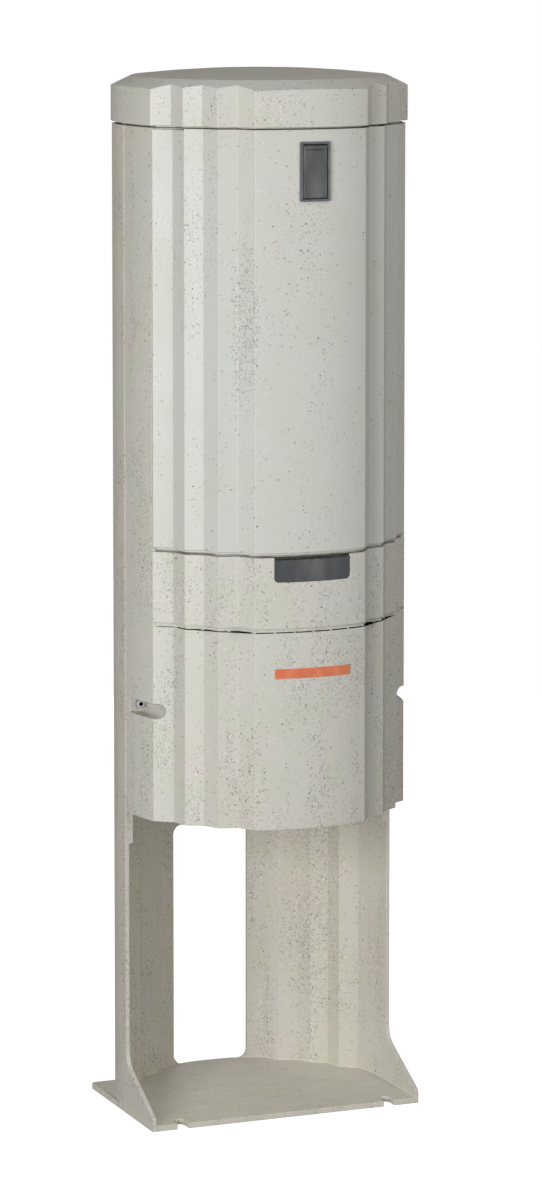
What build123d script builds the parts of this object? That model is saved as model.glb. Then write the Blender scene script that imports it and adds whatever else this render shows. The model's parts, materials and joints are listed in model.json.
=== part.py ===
# Outdoor distribution pillar: a fluted column housing on an open pedestal.
# Millimetres, +Z up, the front faces -Y, and the origin lies under the column's axis on the ground.
import os
from math import cos, radians, sin, sqrt, tan

from build123d import *

# Column outline seen from above, with angles turned from the front
COLUMN_RADIUS = 200.0
RIM_RISE = 3.5
RIDGE_DROP = 2.5
FLUTE_DEPTH = 8.5
FRONT_HALF_ANGLE = 23.5
SIDE_HALF_ANGLE = 22.0
FLUTE_COUNT = 3
WALL = 5.5

# Heights, stacked from the ground to the roof
PEDESTAL_OPENING = 431.0
COVER_HEIGHT = 272.0
VENT_GAP = 6.0
STRIP_HEIGHT = 98.0
DOOR_HEIGHT = 576.0
CAP_GAP = 3.0
CAP_SKIRT = 51.0
ROOF_RISE = 22.0

# Rear housing, its base and its flanges
REAR_STEP = 1.5
BASE_THICKNESS = 8.0
BASE_REACH = 104.0
BASE_BACK = 148.0
BASE_CORNER = 8.0
BASE_NOTCH_X = 156.0
BASE_NOTCH_WIDTH = 16.0
BASE_NOTCH_DEPTH = 25.0
GUSSET_THICKNESS = 6.0
GUSSET_TOE_HEIGHT = 19.0
GUSSET_WALL_HEIGHT = 72.0
GUSSET_SWEEP = 30.0
GUSSET_TOE = 6.0
WINDOW_WIDTH = 114.0
WINDOW_HEIGHT = 354.0
WINDOW_CORNER = 13.0
FLANGE_THICKNESS = 6.0
RIM_FLANGE_WIDTH = 6.0
RIM_FLANGE_DROP = 46.0
TOP_FLANGE_WIDTH = 30.0

# Front shroud, its vent slots, pockets and door frame
VENT_SETBACK = 3.2
VENT_OPEN = 1.0
VENT_RIB_WIDTH = 2.5
VENT_RIB_PITCH = 27.0
FRAME_GAP = 1.2
FRAME_THICKNESS = 4.0
FRAME_WIDTH = 36.0
HEADER_HEIGHT = 30.0
POCKET_INSET = 16.0
POCKET_RADIUS = 10.5
POCKET_WALL = 3.5
POCKET_BELOW_COVER_TOP = 118.0
POCKET_FLOOR = 12.0

# Shroud fixing screws
SHROUD_SCREW_RADIUS = 4.0
SHROUD_SCREW_HEAD_RADIUS = 6.5
SHROUD_SCREW_HEAD = 5.0
SHROUD_SCREW_GRIP = 20.0
SCREW_BOSS_RADIUS = 11.0

# Door and the hooks that it stands on
DOOR_SEAM = 1.4
DOOR_TOP_RELIEF = 2.0
HOOK_X = 69.0
HOOK_WIDTH = 14.0
HOOK_GAP = 0.8
HOOK_THICKNESS = 5.0
HOOK_DEPTH = 18.0
HOOK_ROOT = 8.0
SEAT_GAP = 0.3

# Roof cap
CAP_OVERHANG = 3.0
CAP_WALL = 5.0
CAP_RIB_INSET = 9.0
CAP_RIB_WALL = 3.0
CAP_RIB_GAP = 0.6
ROOF_SLOPE = 26.0
ROOF_SHOULDER = 25.0
DOME_RINGS = 4
CAP_BOSS_RADIUS = 10.0
CAP_BOSS_INSET = 18.0
CAP_BOSS_SIDE_Y = 26.0
CAP_BOSS_BACK_X = 60.0
CAP_SCREW_RADIUS = 3.0
CAP_SCREW_LENGTH = 24.0

# Lock set in the door
LOCK_WIDTH = 43.0
LOCK_HEIGHT = 81.0
LOCK_BELOW_TOP = 57.0
LOCK_RIM = 3.2
LOCK_CORNER = 1.6
LOCK_PROUD = 3.0
LOCK_WALL = 2.0
TUB_DEPTH = 22.0
FLAP_THICKNESS = 2.5
FLAP_PLAY = 0.5
FLAP_BEVEL = 1.4
FLAP_GROOVE = 1.2
FLAP_GROOVE_END = 4.0
FLAP_BARREL_RADIUS = 3.0
FLAP_PIN_RADIUS = 1.5
FLAP_PIN_DROP = 4.0
BARREL_RADIUS = 8.5
BARREL_STEM_WIDTH = 10.0
BARREL_STEM_DROP = 24.0
BARREL_DROP = 8.0
BARREL_RECESS = 4.0
BARREL_LENGTH = 28.0
COLLAR_RADIUS = 11.5
COLLAR_THICKNESS = 3.0
PLUG_RADIUS = 6.0
PLUG_PROUD = 1.0
PLUG_TAIL = 4.0
KEY_SLOT_WIDTH = 2.2
KEY_SLOT_HEIGHT = 8.4
KEY_SLOT_DEPTH = 14.0
CAM_LENGTH = 42.0
CAM_WIDTH = 12.0
CAM_THICKNESS = 4.0
CAM_HUB_RADIUS = 9.0
CAM_SCREW_RADIUS = 2.0
CAM_SCREW_LENGTH = 13.0
KEEPER_GAP = 3.0
KEEPER_THICKNESS = 4.0
KEEPER_WIDTH = 56.0
KEEPER_LAP = 15.0

# Cable outlet plate and ground mark on the shroud
OUTLET_WIDTH = 112.0
OUTLET_HEIGHT = 34.0
OUTLET_CORNER = 6.0
OUTLET_PLAY = 0.4
OUTLET_SETBACK = 1.5
OUTLET_TOP_GAP = 3.5
OUTLET_FLANGE = 2.8
OUTLET_LAP = 3.0
MARK_WIDTH = 111.0
MARK_HEIGHT = 13.5
MARK_BELOW_COVER_TOP = 49.0
MARK_THICKNESS = 0.4
MARK_GLUE = 0.1

# Equipment plate behind the door
BOARD_FRONT = 95.0
BOARD_THICKNESS = 8.0
BOARD_HEIGHT = 470.0
BOARD_ABOVE_STRIP = 43.0
BOARD_SIDE_GAP = 12.0
BOARD_POST_RADIUS = 12.0
BOARD_POST_MARGIN = 30.0
BOARD_SCREW_RADIUS = 4.0
BOARD_SCREW_LENGTH = 24.0

# Three-pole fuse base with blade fuse links
POLE_COUNT = 3
POLE_PITCH = 76.0
FUSE_ABOVE_BOARD_LOW = 250.0
FUSE_BASE_HEIGHT = 210.0
FUSE_BASE_THICKNESS = 12.0
BARRIER_THICKNESS = 4.0
BARRIER_DEPTH = 58.0
CONTACT_SPACING = 104.0
CONTACT_WIDTH = 24.0
CONTACT_HEIGHT = 28.0
CONTACT_DEPTH = 36.0
BLADE_THICKNESS = 6.0
BLADE_WIDTH = 26.0
BLADE_PLAY = 0.2
LINK_BODY_WIDTH = 48.0
LINK_BODY_DEPTH = 44.0
LINK_BODY_HEIGHT = 66.0
LINK_EDGE = 5.0
FUSE_SCREW_RADIUS = 2.5
FUSE_SCREW_LENGTH = 14.0
FUSE_SCREW_EDGE = 12.0

# Neutral and earth bar under the fuse base
BAR_ABOVE_BOARD_LOW = 60.0
BAR_LENGTH = 240.0
BAR_HEIGHT = 30.0
BAR_THICKNESS = 6.0
BAR_POST_RADIUS = 13.0
BAR_POST_LENGTH = 32.0
BAR_POST_X = 92.0
BAR_SCREW_RADIUS = 4.0
BAR_SCREW_LENGTH = 20.0
TERMINAL_COUNT = 6
TERMINAL_PITCH = 26.0
TERMINAL_SCREW_LENGTH = 16.0

# Cable rail with clamps under the equipment plate
RAIL_BELOW_STRIP_TOP = 60.0
RAIL_BACK = 62.0
RAIL_HEIGHT = 40.0
RAIL_DEPTH = 22.0
RAIL_WALL = 3.0
RAIL_MOUTH = 18.0
RAIL_SIDE_GAP = 8.0
RAIL_PAD_WIDTH = 34.0
RAIL_PAD_DEPTH = 26.0
RAIL_BOLT_RADIUS = 4.0
RAIL_BOLT_LENGTH = 22.0
CLAMP_COUNT = 3
CLAMP_PITCH = 96.0
CLAMP_BORE_RADIUS = 18.0
CLAMP_STRAP = 4.0
CLAMP_HEIGHT = 34.0
CLAMP_EAR = 22.0
CLAMP_BOLT_RADIUS = 3.0
CLAMP_NUT_RADIUS = 6.0
CLAMP_NUT_HEIGHT = 5.0
CLAMP_BOLT_END = 4.0

# Shared fits
SCREW_CLEARANCE = 0.2
RUNNING_CLEARANCE = 0.06
FIT = 0.3
BITE = 1.0
HEAD_RATIO = 1.85
HEAD_HEIGHT_RATIO = 0.7

# Levels and lines that follow from the sizes above
COVER_TOP = PEDESTAL_OPENING + COVER_HEIGHT
STRIP_TOP = COVER_TOP + VENT_GAP + STRIP_HEIGHT
DOOR_LOW = STRIP_TOP + VENT_GAP
BODY_TOP = DOOR_LOW + DOOR_HEIGHT
CAP_LOW = BODY_TOP + CAP_GAP
CAP_EDGE = CAP_LOW + CAP_SKIRT
ROOF_TOP = CAP_EDGE + ROOF_RISE
CAP_RADIUS = COLUMN_RADIUS + CAP_OVERHANG
REAR_INNER = WALL - REAR_STEP
FAR = 2 * COLUMN_RADIUS
BASE_HALF = COLUMN_RADIUS + REAR_STEP
LOCK_FACE = -COLUMN_RADIUS
LOCK_Z = BODY_TOP - LOCK_BELOW_TOP
PLUG_Z = LOCK_Z - BARREL_DROP
PLUG_FRONT = LOCK_FACE + BARREL_RECESS - PLUG_PROUD
BARREL_BACK = LOCK_FACE + BARREL_RECESS + BARREL_LENGTH
PLUG_BACK = BARREL_BACK + PLUG_TAIL
FLAP_PIN_Y = LOCK_FACE - LOCK_PROUD + FLAP_BARREL_RADIUS
FLAP_PIN_Z = LOCK_Z + LOCK_HEIGHT / 2 - LOCK_RIM - FLAP_PIN_DROP
POCKET_X = COLUMN_RADIUS - POCKET_INSET
POCKET_Z = COVER_TOP - POCKET_BELOW_COVER_TOP
BOARD_LOW = STRIP_TOP + BOARD_ABOVE_STRIP
BOARD_BACK = BOARD_FRONT + BOARD_THICKNESS
FUSE_Z = BOARD_LOW + FUSE_ABOVE_BOARD_LOW
FUSE_FRONT = BOARD_FRONT - FUSE_BASE_THICKNESS
BAR_Z = BOARD_LOW + BAR_ABOVE_BOARD_LOW
BAR_BACK = BOARD_FRONT - BAR_POST_LENGTH
BAR_FRONT = BAR_BACK - BAR_THICKNESS
RAIL_Z = STRIP_TOP - RAIL_BELOW_STRIP_TOP
RAIL_FRONT = RAIL_BACK - RAIL_DEPTH


# Shared shapes
def polar(radius, angle):
    """Point on the plan at a radius and an angle from the front, in degrees."""
    return Vector(radius * sin(radians(angle)), -radius * cos(radians(angle)))


def flute_corner(inset):
    """Plan points of one fluted corner, from the front face's edge to the side face's edge."""
    half_pitch = (90 - FRONT_HALF_ANGLE - SIDE_HALF_ANGLE) / (2 * FLUTE_COUNT)
    rim = COLUMN_RADIUS + RIM_RISE
    ridge = COLUMN_RADIUS - RIDGE_DROP
    radii = [rim] + [ridge - FLUTE_DEPTH, ridge] * FLUTE_COUNT
    radii[-1] = rim
    return [polar(radius - inset, FRONT_HALF_ANGLE + step * half_pitch) for step, radius in enumerate(radii)]


def column_face(inset):
    """Closed plan of the column, drawn in by an inset: four bowed faces and four fluted corners."""
    corner = flute_corner(inset)
    front_right = corner
    back_right = [Vector(point.X, -point.Y) for point in reversed(corner)]
    back_left = [Vector(-point.X, -point.Y) for point in corner]
    front_left = [Vector(-point.X, point.Y) for point in reversed(corner)]
    runs = [front_right, back_right, back_left, front_left]
    edges = []
    for number, run in enumerate(runs):
        following = runs[(number + 1) % len(runs)]
        middle = polar(COLUMN_RADIUS - inset, 90 * (number + 1))
        edges += Polyline(*run).edges()
        edges.append(ThreePointArc(run[-1], middle, following[0]))
    return Face(Wire(edges))


def column_block(inset, low, high):
    """Column drawn in by an inset, solid between two heights."""
    return extrude(Pos(0, 0, low) * column_face(inset), amount=high - low)


def band(outer, inner, low, high):
    """Fluted wall between two insets and two heights."""
    return column_block(outer, low, high) - column_block(inner, low - BITE, high + BITE)


def block(x, y, z):
    """Box between the low and high values given for each axis."""
    spans = (x, y, z)
    middle = [(low + high) / 2 for low, high in spans]
    return Pos(*middle) * Box(*[high - low for low, high in spans])


def solid_y(sketch, low, high):
    """Sketch in X and Z, made solid between two values of Y."""
    return extrude(Plane.XZ.offset(-high) * sketch, amount=high - low)


def solid_x(sketch, low, high):
    """Sketch in Y and Z, made solid between two values of X."""
    return extrude(Plane.YZ.offset(low) * sketch, amount=high - low)


def rod_y(x, z, radius, low, high):
    """Round bar along Y."""
    return solid_y(Pos(x, z) * Circle(radius), low, high)


def screw(radius, length):
    """Screw along +Z with the underside of its hexagon head at the origin."""
    head = radius * 2 * HEAD_HEIGHT_RATIO
    shank = extrude(Circle(radius), amount=length)
    return shank + extrude(RegularPolygon(radius * HEAD_RATIO, 6), amount=-head)


def screw_back(x, y, z, radius, length):
    """Screw that runs back along +Y from the face its head sits on."""
    return Pos(x, y, z) * Rot(-90, 0, 0) * screw(radius, length)


def pair(right):
    """A right-hand solid and its mirror image on the left."""
    return [right, mirror(right, about=Plane.YZ)]


def front_rim_y():
    """Y of the upright edge where the fluted corner meets the side face."""
    return flute_corner(0)[-1].Y


# Housing
def base_plate():
    """Foot plate that squares off the column's foot, with two notches in its front edge."""
    length = BASE_REACH + BASE_BACK
    plate = Pos(0, BASE_BACK - length / 2) * Rectangle(2 * BASE_HALF, length)
    plate = fillet(plate.vertices().group_by(Axis.Y)[-1], BASE_CORNER)
    straight = BASE_NOTCH_DEPTH - BASE_NOTCH_WIDTH / 2
    for side in (-1, 1):
        x = side * BASE_NOTCH_X
        plate -= Pos(x, -BASE_REACH + straight) * Circle(BASE_NOTCH_WIDTH / 2)
        plate -= Pos(x, -BASE_REACH) * Rectangle(BASE_NOTCH_WIDTH, 2 * straight)
    foot = column_block(-REAR_STEP, 0, BASE_THICKNESS) & block((-FAR, FAR), (0, FAR), (0, BASE_THICKNESS))
    return foot + extrude(plate, amount=BASE_THICKNESS)


def gusset():
    """Right-hand side web that slopes from the pedestal wall forward to the foot plate's front edge."""
    root = 2 * WALL
    outline = Polyline(
        (-BASE_REACH, 0),
        (root, 0),
        (root, GUSSET_WALL_HEIGHT + GUSSET_SWEEP),
        (0, GUSSET_WALL_HEIGHT + GUSSET_SWEEP),
        (0, GUSSET_WALL_HEIGHT),
        (-BASE_REACH, GUSSET_TOE_HEIGHT),
        close=True,
    )
    web = make_face(outline)
    web = fillet(web.vertices().sort_by_distance((0, GUSSET_WALL_HEIGHT))[0], GUSSET_SWEEP)
    web = fillet(web.vertices().sort_by_distance((-BASE_REACH, GUSSET_TOE_HEIGHT))[0], GUSSET_TOE)
    return solid_x(web, BASE_HALF - GUSSET_THICKNESS, BASE_HALF)


def cap_boss_places():
    """Plan points of the four bosses that carry the cap."""
    side_x = COLUMN_RADIUS - CAP_BOSS_INSET
    back_y = COLUMN_RADIUS - CAP_BOSS_INSET - BITE * 5
    return [(side * side_x, CAP_BOSS_SIDE_Y) for side in (-1, 1)] + [
        (side * CAP_BOSS_BACK_X, back_y) for side in (-1, 1)
    ]


def board_half_width():
    """Half the width of the equipment board, held off the wall at its back face."""
    inner = COLUMN_RADIUS - RIDGE_DROP - FLUTE_DEPTH - WALL
    return sqrt(inner**2 - BOARD_BACK**2) - BOARD_SIDE_GAP


def board_screw_places():
    """X and Z of the four screws that hold the equipment board."""
    x = board_half_width() - BOARD_POST_MARGIN
    low = BOARD_LOW + BOARD_POST_MARGIN
    high = BOARD_LOW + BOARD_HEIGHT - BOARD_POST_MARGIN
    return [(side * x, z) for side in (-1, 1) for z in (low, high)]


def rail_half_length():
    """Half the length of the cable rail, held off the side walls."""
    return COLUMN_RADIUS - WALL - RAIL_SIDE_GAP


def rail_bolt_x():
    """X of the bolts that hold the cable rail to its pads."""
    return rail_half_length() - RAIL_PAD_WIDTH / 2


def rear_housing():
    """Rear half of the column down to the ground, in one moulding with its pedestal and foot plate."""
    rear_half = block((-FAR, FAR), (0, FAR), (0, BODY_TOP))
    trim = column_block(REAR_INNER - BITE, 0, BODY_TOP)
    body = band(-REAR_STEP, REAR_INNER, 0, BODY_TOP) & rear_half
    body += base_plate()
    for web in pair(gusset()):
        body += web
    rim_low = PEDESTAL_OPENING - RIM_FLANGE_DROP
    rim = band(REAR_INNER - BITE, REAR_INNER + RIM_FLANGE_WIDTH, rim_low, BODY_TOP)
    body += rim & block((-FAR, FAR), (0, FLANGE_THICKNESS), (0, BODY_TOP))
    top = band(REAR_INNER - BITE, REAR_INNER + TOP_FLANGE_WIDTH, BODY_TOP - FLANGE_THICKNESS, BODY_TOP)
    body += top & rear_half
    for side in (-1, 1):
        boss = rod_y(side * POCKET_X, POCKET_Z, SCREW_BOSS_RADIUS, 0, SHROUD_SCREW_GRIP + 2 * BITE)
        web = block((0, COLUMN_RADIUS), (0, SHROUD_SCREW_GRIP), (POCKET_Z - BITE * 3, POCKET_Z + BITE * 3))
        web &= block((POCKET_X, FAR), (0, FAR), (0, BODY_TOP))
        body += (boss + (web if side > 0 else mirror(web, about=Plane.YZ))) & trim
        hole_radius = SHROUD_SCREW_RADIUS + SCREW_CLEARANCE
        body -= rod_y(side * POCKET_X, POCKET_Z, hole_radius, -BITE, SHROUD_SCREW_GRIP)
    for x, z in board_screw_places():
        body += rod_y(x, z, BOARD_POST_RADIUS, BOARD_BACK, FAR) & trim
        tip = BOARD_FRONT + BOARD_SCREW_LENGTH + BITE
        body -= rod_y(x, z, BOARD_SCREW_RADIUS + SCREW_CLEARANCE, BOARD_BACK - BITE, tip)
    for side in (-1, 1):
        x = side * rail_bolt_x()
        inner = x - RAIL_PAD_WIDTH / 2
        span = (inner, FAR) if side > 0 else (-FAR, x + RAIL_PAD_WIDTH / 2)
        heights = (RAIL_Z - RAIL_HEIGHT / 2, RAIL_Z + RAIL_HEIGHT / 2)
        body += block(span, (RAIL_BACK, RAIL_BACK + RAIL_PAD_DEPTH), heights) & trim
        tip = RAIL_BACK + RAIL_BOLT_LENGTH
        body -= rod_y(x, RAIL_Z, RAIL_BOLT_RADIUS + SCREW_CLEARANCE, RAIL_BACK - BITE, tip)
    for x, y in cap_boss_places():
        hole = Pos(x, y) * Circle(CAP_SCREW_RADIUS + SCREW_CLEARANCE)
        body -= extrude(Pos(0, 0, BODY_TOP - FLANGE_THICKNESS - BITE) * hole, amount=FLANGE_THICKNESS + 2 * BITE)
    window = Pos(0, BASE_THICKNESS + WINDOW_HEIGHT / 2) * RectangleRounded(
        WINDOW_WIDTH, WINDOW_HEIGHT, WINDOW_CORNER
    )
    return body - solid_y(window, COLUMN_RADIUS / 2, FAR)


def screw_pocket():
    """Right-hand groove for a shroud screw: its moulded wall and the space that it leaves."""
    front = 2 * front_rim_y()
    wall = rod_y(POCKET_X, POCKET_Z, POCKET_RADIUS + POCKET_WALL, front, 0)
    wall &= column_block(BITE, PEDESTAL_OPENING, COVER_TOP)
    space = rod_y(POCKET_X, POCKET_Z, POCKET_RADIUS, front, -POCKET_FLOOR)
    side_cut = (POCKET_Z - POCKET_RADIUS, POCKET_Z + POCKET_RADIUS)
    space += block((POCKET_X, FAR), (front, -POCKET_FLOOR), side_cut)
    hole = rod_y(POCKET_X, POCKET_Z, SHROUD_SCREW_RADIUS + SCREW_CLEARANCE, -POCKET_FLOOR - BITE, BITE)
    return wall, space + hole


def vent_slot(low):
    """Stepped slot from one side edge to the other: tall in front, low behind its set-back lip."""
    front = block((-FAR, FAR), (-FAR, front_rim_y()), (0, BODY_TOP))
    tall = band(-BITE, VENT_SETBACK, low, low + VENT_GAP)
    narrow = band(VENT_SETBACK - BITE / 2, WALL + BITE, low, low + VENT_OPEN)
    return (tall + narrow) & front


def vent_ribs(low):
    """Small upright ribs that tie the set-back lip across the slot."""
    reach = flute_corner(0)[-1].X
    count = int(reach // VENT_RIB_PITCH)
    lip = band(VENT_SETBACK, WALL, low - BITE, low + VENT_GAP + BITE)
    ribs = []
    for number in range(-count, count + 1):
        x = number * VENT_RIB_PITCH
        span = (x - VENT_RIB_WIDTH / 2, x + VENT_RIB_WIDTH / 2)
        ribs.append(lip & block(span, (-FAR, front_rim_y()), (0, BODY_TOP)))
    return ribs


def door_frame():
    """Set-back frame that the closed door lies against, open in the middle and notched for the lock."""
    outer = WALL + FRAME_GAP
    low = DOOR_LOW + FRAME_WIDTH
    frame = band(outer, outer + FRAME_THICKNESS, low, BODY_TOP)
    frame &= block((-FAR, FAR), (-FAR, front_rim_y() + FRAME_WIDTH), (0, BODY_TOP))
    half = flute_corner(0)[-1].X - FRAME_WIDTH
    frame -= block((-half, half), (-FAR, 0), (0, BODY_TOP - HEADER_HEIGHT))
    lock_room = LOCK_WIDTH / 2 + 2 * FRAME_GAP
    header_bridge = BODY_TOP - (LOCK_BELOW_TOP - LOCK_HEIGHT / 2) + 2 * FRAME_GAP
    frame -= block((-lock_room, lock_room), (-FAR, 0), (0, header_bridge))
    root = band(WALL - BITE, outer + BITE, low, BODY_TOP)
    edge = front_rim_y() + DOOR_SEAM
    return frame + (root & block((-FAR, FAR), (edge, front_rim_y() + FRAME_WIDTH), (0, BODY_TOP)))


def lock_keeper():
    """Catch on the frame's header that the lock's cam turns behind."""
    back = PLUG_BACK - KEEPER_GAP
    half = KEEPER_WIDTH / 2
    header_bridge = BODY_TOP - (LOCK_BELOW_TOP - LOCK_HEIGHT / 2) + 2 * FRAME_GAP
    shelf = block((-half, half), (-FAR, back), (header_bridge, BODY_TOP))
    shelf &= column_block(WALL + FRAME_GAP + BITE, 0, BODY_TOP)
    low = PLUG_Z + CAM_LENGTH - KEEPER_LAP
    return shelf + block((-half, half), (back - KEEPER_THICKNESS, back), (low, BODY_TOP))


def outlet_outline(play):
    """Outline of the cable outlet in the strip's top edge, opened at the top, drawn in by a play."""
    height = OUTLET_HEIGHT + OUTLET_CORNER
    middle = STRIP_TOP - OUTLET_HEIGHT + height / 2
    return Pos(0, middle) * RectangleRounded(OUTLET_WIDTH - 2 * play, height - 2 * play, OUTLET_CORNER - play)


def front_shroud():
    """Lower front cover, strip and side posts in one moulding, with a vent slot and the door's frame."""
    body = band(0, WALL, PEDESTAL_OPENING, BODY_TOP) & block((-FAR, FAR), (-FAR, 0), (0, BODY_TOP))
    body -= block((-FAR, FAR), (-FAR, front_rim_y() + DOOR_SEAM), (STRIP_TOP, BODY_TOP + BITE))
    body -= vent_slot(COVER_TOP)
    for rib in vent_ribs(COVER_TOP):
        body += rib
    body -= solid_y(outlet_outline(0), -FAR, 0)
    wall, space = screw_pocket()
    for solid, cut in zip(pair(wall), pair(space)):
        body = body + solid - cut
    body += door_frame()
    return body + lock_keeper()


def door():
    """Fluted door panel with a set-back lower lip, two hooks and side tops lowered so that it tips out."""
    front = block((-FAR, FAR), (-FAR, front_rim_y()), (0, BODY_TOP))
    body = band(0, WALL, DOOR_LOW, BODY_TOP) & front
    last_ridge_y = flute_corner(0)[-3].Y
    body -= block((-FAR, FAR), (last_ridge_y, 0), (BODY_TOP - DOOR_TOP_RELIEF, BODY_TOP + BITE))
    body += band(VENT_SETBACK, WALL, STRIP_TOP + VENT_OPEN, DOOR_LOW + BITE) & front
    hook_back = WALL + HOOK_GAP + HOOK_THICKNESS
    foot = band(VENT_SETBACK, hook_back, STRIP_TOP + SEAT_GAP, DOOR_LOW + HOOK_ROOT)
    prong = band(WALL + HOOK_GAP, hook_back, STRIP_TOP - HOOK_DEPTH, STRIP_TOP + BITE)
    reach = (HOOK_X - HOOK_WIDTH / 2, HOOK_X + HOOK_WIDTH / 2)
    for hook in pair((foot + prong) & block(reach, (-FAR, 0), (0, BODY_TOP))):
        body += hook
    hole = Pos(0, LOCK_Z) * RectangleRounded(tub_width() + 2 * FIT, tub_height() + 2 * FIT, LOCK_CORNER)
    return body - solid_y(hole, -FAR, 0)


def roof_form(inset, drop, low):
    """Cap outline under a sloped shoulder and a low dome, drawn in and lowered for the inside."""
    slope = tan(radians(ROOF_SLOPE))
    shoulder_radius = CAP_RADIUS - ROOF_SHOULDER
    shoulder = CAP_EDGE + ROOF_SHOULDER * slope
    crown = [
        (shoulder_radius * share, ROOF_TOP - (ROOF_TOP - shoulder) * share**2)
        for share in (number / DOME_RINGS for number in range(DOME_RINGS + 1))
    ]
    outside = CAP_EDGE - (FAR - CAP_RADIUS) * slope
    outline = Polyline(*crown, (FAR, outside), (FAR, 0), (0, 0), close=True)
    roof = Pos(0, 0, -drop) * revolve(Plane.XZ * make_face(outline), Axis.Z)
    return column_block(inset, low, ROOF_TOP + BITE) & roof


def roof_cap():
    """Moulded cap: fluted skirt, inner rain rib, domed roof and four bosses that stand on the rear housing."""
    body = roof_form(-CAP_OVERHANG, 0, CAP_LOW) - roof_form(CAP_WALL - CAP_OVERHANG, CAP_WALL, CAP_LOW - BITE)
    rib = roof_form(CAP_RIB_INSET, BITE, BODY_TOP + CAP_RIB_GAP)
    body += rib - column_block(CAP_RIB_INSET + CAP_RIB_WALL, BODY_TOP, ROOF_TOP + BITE)
    trim = roof_form(BITE - CAP_OVERHANG, BITE, BODY_TOP)
    for x, y in cap_boss_places():
        boss = Pos(x, y) * Circle(CAP_BOSS_RADIUS)
        body += extrude(Pos(0, 0, BODY_TOP) * boss, amount=ROOF_TOP - BODY_TOP) & trim
        hole = Pos(x, y) * Circle(CAP_SCREW_RADIUS + SCREW_CLEARANCE)
        depth = CAP_SCREW_LENGTH - FLANGE_THICKNESS + BITE
        body -= extrude(Pos(0, 0, BODY_TOP - BITE) * hole, amount=depth + BITE)
    return body


# Lock set
def tub_width():
    """Outer width of the lock housing's tub."""
    return LOCK_WIDTH - 2 * LOCK_WALL / 2


def tub_height():
    """Outer height of the lock housing's tub."""
    return LOCK_HEIGHT - 2 * LOCK_WALL / 2


def barrel_profile(extra):
    """Round barrel with a straight stem below it, grown by an amount."""
    stem = Pos(0, -BARREL_STEM_DROP / 2) * Rectangle(BARREL_STEM_WIDTH + 2 * extra, BARREL_STEM_DROP + 2 * extra)
    return Pos(0, PLUG_Z) * (Circle(BARREL_RADIUS + extra) + stem)


def lock_housing():
    """Rim and tub let into the door, with a hole for the barrel and bearings for the flap's pin."""
    front = LOCK_FACE - LOCK_PROUD
    back = LOCK_FACE + TUB_DEPTH
    plate = RectangleRounded(LOCK_WIDTH, LOCK_HEIGHT, LOCK_CORNER)
    rim = solid_y(Pos(0, LOCK_Z) * plate, front, LOCK_FACE + WALL)
    rim -= column_block(-RUNNING_CLEARANCE, 0, BODY_TOP)
    tub_corner = LOCK_CORNER - FIT
    tub = solid_y(Pos(0, LOCK_Z) * RectangleRounded(tub_width(), tub_height(), tub_corner), front, back)
    room = RectangleRounded(LOCK_WIDTH - 2 * LOCK_RIM, LOCK_HEIGHT - 2 * LOCK_RIM, LOCK_CORNER / 2)
    body = rim + tub - solid_y(Pos(0, LOCK_Z) * room, front - BITE, back - LOCK_WALL)
    body -= solid_y(barrel_profile(SCREW_CLEARANCE), LOCK_FACE, back + BITE)
    pin_hole = Pos(FLAP_PIN_Y, FLAP_PIN_Z) * Circle(FLAP_PIN_RADIUS + RUNNING_CLEARANCE)
    reach = tub_width() / 2 - RUNNING_CLEARANCE
    return body - solid_x(pin_hole, -reach, reach)


def lock_flap():
    """Bevelled dust flap that hangs from a barrel over a groove, with a finger lip at its foot."""
    half = LOCK_WIDTH / 2 - LOCK_RIM - FLAP_PLAY
    low = LOCK_Z - LOCK_HEIGHT / 2 + LOCK_RIM + FLAP_PLAY
    front = LOCK_FACE - LOCK_PROUD
    body = block((-half, half), (front, front + FLAP_THICKNESS), (low, FLAP_PIN_Z))
    body += block((-half, half), (front, front + 2 * FLAP_THICKNESS), (low, low + FLAP_THICKNESS))
    rim = body.faces().sort_by(Axis.Y)[0].edges()
    body = chamfer(rim.sort_by(Axis.Z)[:-1], FLAP_BEVEL)
    axis = Pos(FLAP_PIN_Y, FLAP_PIN_Z)
    body += solid_x(axis * Circle(FLAP_BARREL_RADIUS), -half, half)
    groove_top = FLAP_PIN_Z - FLAP_BARREL_RADIUS
    groove_half = half - FLAP_GROOVE_END
    groove_depth = (front - BITE, front + FLAP_GROOVE)
    body -= block((-groove_half, groove_half), groove_depth, (groove_top - FLAP_GROOVE, groove_top))
    return body - solid_x(axis * Circle(FLAP_PIN_RADIUS + RUNNING_CLEARANCE), -half - BITE, half + BITE)


def flap_pin():
    """Pin that carries the flap between the tub's side walls."""
    reach = tub_width() / 2 - RUNNING_CLEARANCE - SCREW_CLEARANCE
    return solid_x(Pos(FLAP_PIN_Y, FLAP_PIN_Z) * Circle(FLAP_PIN_RADIUS), -reach, reach)


def lock_barrel():
    """Fixed lock barrel with a collar that seats on the tub's floor."""
    front = LOCK_FACE + BARREL_RECESS
    seat = LOCK_FACE + TUB_DEPTH - LOCK_WALL
    body = solid_y(barrel_profile(0), front, BARREL_BACK)
    body += rod_y(0, PLUG_Z, COLLAR_RADIUS, seat - COLLAR_THICKNESS, seat)
    return body - rod_y(0, PLUG_Z, PLUG_RADIUS + RUNNING_CLEARANCE, front - BITE, BARREL_BACK + BITE)


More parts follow.
